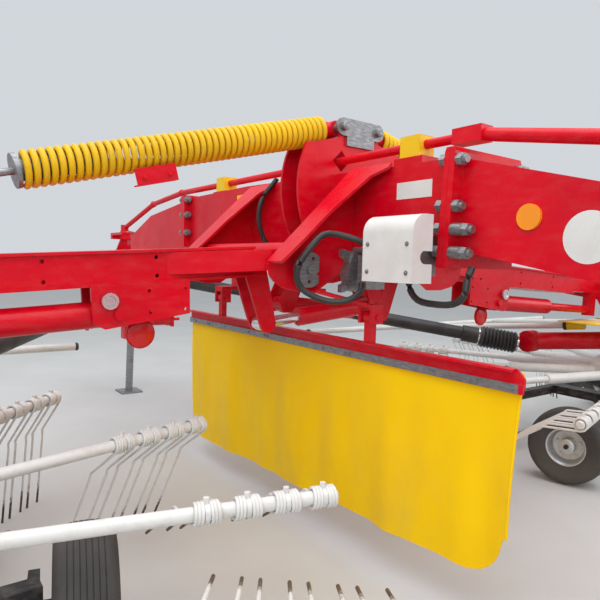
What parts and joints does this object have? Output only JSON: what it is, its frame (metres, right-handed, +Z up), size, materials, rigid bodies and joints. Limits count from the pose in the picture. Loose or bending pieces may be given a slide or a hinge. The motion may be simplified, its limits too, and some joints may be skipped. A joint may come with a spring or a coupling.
{
  "type": "twin rotor hay rake",
  "caption": "Towed hay rake with tined rotors on folding booms, a steered rear axle, boom springs and a hanging swath curtain.",
  "frame": {"origin": "on the ground under the middle of the machine, on the line through the two rotor hubs, which is also the middle of its length", "axes": "+X to the machine's right, +Y forward toward the tractor, +Z up"},
  "size_m": [8.3702, 6.6, 1.7916],
  "materials": {
    "red": "gloss",
    "yellow": "gloss",
    "white": "gloss",
    "steel": "satin",
    "bright_rod": "polished",
    "black": "satin",
    "guard_plastic": "satin",
    "cover": "gloss",
    "hose": "satin",
    "tyre": "matt",
    "curtain": "satin",
    "amber": "gloss"
  },
  "bodies": {
    "frame": {"main_frame": "red", "front_beam": "red", "rear_beam": "red", "rear_axle": "red", "pins_and_bolts": "steel", "spring_anchor": "steel", "guide_blocks": "yellow", "centre_gearbox": "red", "centre_shafts": "guard_plastic", "curtain_hangers": "red", "valve_cover": "cover", "valve_block": "steel", "hoses": "hose", "rear_lamps": "red", "side_reflectors": "amber"},
    "headstock": {"headstock": "red"},
    "stand": {"stand_leg": "steel"},
    "steering_rod": {"steering_rod": "red"},
    "steer_lever": {"steer_lever": "red"},
    "tie_rod": {"tie_rod": "red"},
    "curtain": {"curtain_rail": "red", "curtain_sheet": "curtain"},
    "left_knuckle": {"left_knuckle": "red"},
    "left_rear_wheel": {"left_rear_tyre": "tyre", "left_rear_rim": "white"},
    "left_boom": {"left_boom": "red", "left_shaft_tube": "guard_plastic"},
    "left_boom_head": {"left_boom_head": "red", "left_guard_tubes": "white", "left_guard_plate": "yellow", "left_chassis": "black"},
    "left_shaft": {"left_shaft_sleeve": "guard_plastic"},
    "left_rotor": {"left_rotor_arms": "white"},
    "left_spring": {"left_spring_coil": "yellow"},
    "left_spring_rod": {"left_spring_rod": "steel"},
    "left_fold_barrel": {"left_fold_barrel": "red"},
    "left_fold_rod": {"left_fold_rod": "bright_rod"},
    "left_wheel_a": {"left_wheel_a": "tyre"},
    "left_wheel_b": {"left_wheel_b": "tyre"},
    "left_wheel_c": {"left_wheel_c": "tyre"},
    "left_wheel_d": {"left_wheel_d": "tyre"},
    "right_knuckle": {"right_knuckle": "red"},
    "right_rear_wheel": {"right_rear_tyre": "tyre", "right_rear_rim": "white"},
    "right_boom": {"right_boom": "red", "right_shaft_tube": "guard_plastic"},
    "right_boom_head": {"right_boom_head": "red", "right_guard_tubes": "white", "right_guard_plate": "yellow", "right_chassis": "black"},
    "right_shaft": {"right_shaft_sleeve": "guard_plastic"},
    "right_rotor": {"right_rotor_arms": "white"},
    "right_spring": {"right_spring_coil": "yellow"},
    "right_spring_rod": {"right_spring_rod": "steel"},
    "right_fold_barrel": {"right_fold_barrel": "red"},
    "right_fold_rod": {"right_fold_rod": "bright_rod"},
    "right_wheel_a": {"right_wheel_a": "tyre"},
    "right_wheel_b": {"right_wheel_b": "tyre"},
    "right_wheel_c": {"right_wheel_c": "tyre"},
    "right_wheel_d": {"right_wheel_d": "tyre"}
  },
  "joints": [
    {"name": "headstock_yaw", "type": "hinge", "parent": "frame", "child": "headstock", "pos_m": [0, 2.9, 1.05], "axis": [0, 0, 1], "range_deg": [-50, 50]},
    {"name": "stand_fold", "type": "hinge", "parent": "headstock", "child": "stand", "pos_m": [0, 3.125, 0.52], "axis": [-1, 0, 0], "range_deg": [0, 90]},
    {"name": "steering_rod_slide", "type": "slide", "parent": "frame", "child": "steering_rod", "axis": [0, 1, 0], "range_m": [-0.11, 0.11]},
    {"name": "steer_lever_turn", "type": "hinge", "parent": "frame", "child": "steer_lever", "pos_m": [0, -2.56, 0.9], "axis": [0, 0, 1], "range_deg": [-40, 40]},
    {"name": "tie_rod_slide", "type": "slide", "parent": "frame", "child": "tie_rod", "axis": [1, 0, 0], "range_m": [-0.085, 0.085]},
    {"name": "curtain_swing", "type": "hinge", "parent": "frame", "child": "curtain", "pos_m": [-0.22, 0, 0.955], "axis": [0, -1, 0], "range_deg": [0, 25]},
    {"name": "left_steer", "type": "hinge", "parent": "frame", "child": "left_knuckle", "pos_m": [-0.98, -2.905, 0.6], "axis": [0, 0, 1], "range_deg": [-25, 25]},
    {"name": "left_rear_wheel_spin", "type": "hinge", "parent": "left_knuckle", "child": "left_rear_wheel", "pos_m": [-1.18, -2.905, 0.395], "axis": [1, 0, 0], "continuous": true},
    {"name": "left_fold", "type": "hinge", "parent": "frame", "child": "left_boom", "pos_m": [-0.42, 0, 1.19], "axis": [0, 1, 0], "range_deg": [0, 85]},
    {"name": "left_extend", "type": "slide", "parent": "left_boom", "child": "left_boom_head", "axis": [-0.9979, 0, -0.0645], "range_m": [-0.25, 0.14]},
    {"name": "left_shaft_slide", "type": "slide", "parent": "left_boom", "child": "left_shaft", "axis": [-0.6998, -0.6998, -0.1435], "range_m": [-0.36, 0.2]},
    {"name": "left_rotor_spin", "type": "hinge", "parent": "left_boom_head", "child": "left_rotor", "pos_m": [-2.405, 0, 0.49], "axis": [0, 0, -1], "continuous": true},
    {"name": "left_spring_swing", "type": "hinge", "parent": "frame", "child": "left_spring", "pos_m": [-0.1, 0.34, 1.751], "axis": [0, 1, 0], "range_deg": [0, 84]},
    {"name": "left_spring_rod_slide", "type": "slide", "parent": "left_spring", "child": "left_spring_rod", "axis": [-0.9681, 0, -0.2504], "range_m": [-0.87, 0], "deforming": ["left_spring_coil"]},
    {"name": "left_fold_cylinder_swing", "type": "hinge", "parent": "frame", "child": "left_fold_barrel", "pos_m": [0.2, 0.38, 0.96], "axis": [0, 1, 0], "range_deg": [0, 18.9]},
    {"name": "left_fold_rod_slide", "type": "slide", "parent": "left_fold_barrel", "child": "left_fold_rod", "axis": [-0.9946, 0, -0.1034], "range_m": [0, 0.31]},
    {"name": "left_wheel_a_spin", "type": "hinge", "parent": "left_boom_head", "child": "left_wheel_a", "pos_m": [-1.284, -0.08, 0.205], "axis": [0.9703, -0.2419, 0], "continuous": true},
    {"name": "left_wheel_b_spin", "type": "hinge", "parent": "left_boom_head", "child": "left_wheel_b", "pos_m": [-1.545, 0.64, 0.205], "axis": [0.9903, -0.1392, 0], "continuous": true},
    {"name": "left_wheel_c_spin", "type": "hinge", "parent": "left_boom_head", "child": "left_wheel_c", "pos_m": [-3.265, 0.64, 0.205], "axis": [0.9903, 0.1392, 0], "continuous": true},
    {"name": "left_wheel_d_spin", "type": "hinge", "parent": "left_boom_head", "child": "left_wheel_d", "pos_m": [-3.526, -0.08, 0.205], "axis": [0.9703, 0.2419, 0], "continuous": true},
    {"name": "right_steer", "type": "hinge", "parent": "frame", "child": "right_knuckle", "pos_m": [0.98, -2.905, 0.6], "axis": [0, 0, 1], "range_deg": [-25, 25]},
    {"name": "right_rear_wheel_spin", "type": "hinge", "parent": "right_knuckle", "child": "right_rear_wheel", "pos_m": [1.18, -2.905, 0.395], "axis": [1, 0, 0], "continuous": true},
    {"name": "right_fold", "type": "hinge", "parent": "frame", "child": "right_boom", "pos_m": [0.42, 0, 1.19], "axis": [0, -1, 0], "range_deg": [0, 85]},
    {"name": "right_extend", "type": "slide", "parent": "right_boom", "child": "right_boom_head", "axis": [0.9979, 0, -0.0645], "range_m": [-0.25, 0.14]},
    {"name": "right_shaft_slide", "type": "slide", "parent": "right_boom", "child": "right_shaft", "axis": [0.6998, -0.6998, -0.1435], "range_m": [-0.36, 0.2]},
    {"name": "right_rotor_spin", "type": "hinge", "parent": "right_boom_head", "child": "right_rotor", "pos_m": [2.405, 0, 0.49], "axis": [0, 0, 1], "continuous": true},
    {"name": "right_spring_swing", "type": "hinge", "parent": "frame", "child": "right_spring", "pos_m": [0.1, 0.34, 1.751], "axis": [0, -1, 0], "range_deg": [0, 84]},
    {"name": "right_spring_rod_slide", "type": "slide", "parent": "right_spring", "child": "right_spring_rod", "axis": [0.9681, 0, -0.2504], "range_m": [-0.87, 0], "deforming": ["right_spring_coil"]},
    {"name": "right_fold_cylinder_swing", "type": "hinge", "parent": "frame", "child": "right_fold_barrel", "pos_m": [-0.2, 0.56, 0.96], "axis": [0, -1, 0], "range_deg": [0, 18.9]},
    {"name": "right_fold_rod_slide", "type": "slide", "parent": "right_fold_barrel", "child": "right_fold_rod", "axis": [0.9946, 0, -0.1034], "range_m": [0, 0.31]},
    {"name": "right_wheel_a_spin", "type": "hinge", "parent": "right_boom_head", "child": "right_wheel_a", "pos_m": [1.284, -0.08, 0.205], "axis": [0.9703, 0.2419, 0], "continuous": true},
    {"name": "right_wheel_b_spin", "type": "hinge", "parent": "right_boom_head", "child": "right_wheel_b", "pos_m": [1.545, 0.64, 0.205], "axis": [0.9903, 0.1392, 0], "continuous": true},
    {"name": "right_wheel_c_spin", "type": "hinge", "parent": "right_boom_head", "child": "right_wheel_c", "pos_m": [3.265, 0.64, 0.205], "axis": [0.9903, -0.1392, 0], "continuous": true},
    {"name": "right_wheel_d_spin", "type": "hinge", "parent": "right_boom_head", "child": "right_wheel_d", "pos_m": [3.526, -0.08, 0.205], "axis": [0.9703, -0.2419, 0], "continuous": true}
  ],
  "couplings": [
    {"joint": "steering_rod_slide", "follows": "headstock_yaw", "m_per_rad": -0.12},
    {"joint": "steer_lever_turn", "follows": "headstock_yaw", "ratio": 0.75},
    {"joint": "tie_rod_slide", "follows": "headstock_yaw", "m_per_rad": 0.093},
    {"joint": "left_shaft_slide", "follows": "left_extend", "ratio": 1.426},
    {"joint": "left_steer", "follows": "headstock_yaw", "ratio": -0.49},
    {"joint": "left_spring_swing", "follows": "left_fold", "ratio": 0.986},
    {"joint": "left_spring_rod_slide", "follows": "left_fold", "m_per_rad": -0.585},
    {"joint": "left_fold_cylinder_swing", "follows": "left_fold", "ratio": 0.2215},
    {"joint": "left_fold_rod_slide", "follows": "left_fold", "m_per_rad": 0.2087},
    {"joint": "right_shaft_slide", "follows": "right_extend", "ratio": 1.426},
    {"joint": "right_steer", "follows": "headstock_yaw", "ratio": -0.49},
    {"joint": "right_spring_swing", "follows": "right_fold", "ratio": 0.986},
    {"joint": "right_spring_rod_slide", "follows": "right_fold", "m_per_rad": -0.585},
    {"joint": "right_fold_cylinder_swing", "follows": "right_fold", "ratio": 0.2215},
    {"joint": "right_fold_rod_slide", "follows": "right_fold", "m_per_rad": 0.2087}
  ]
}
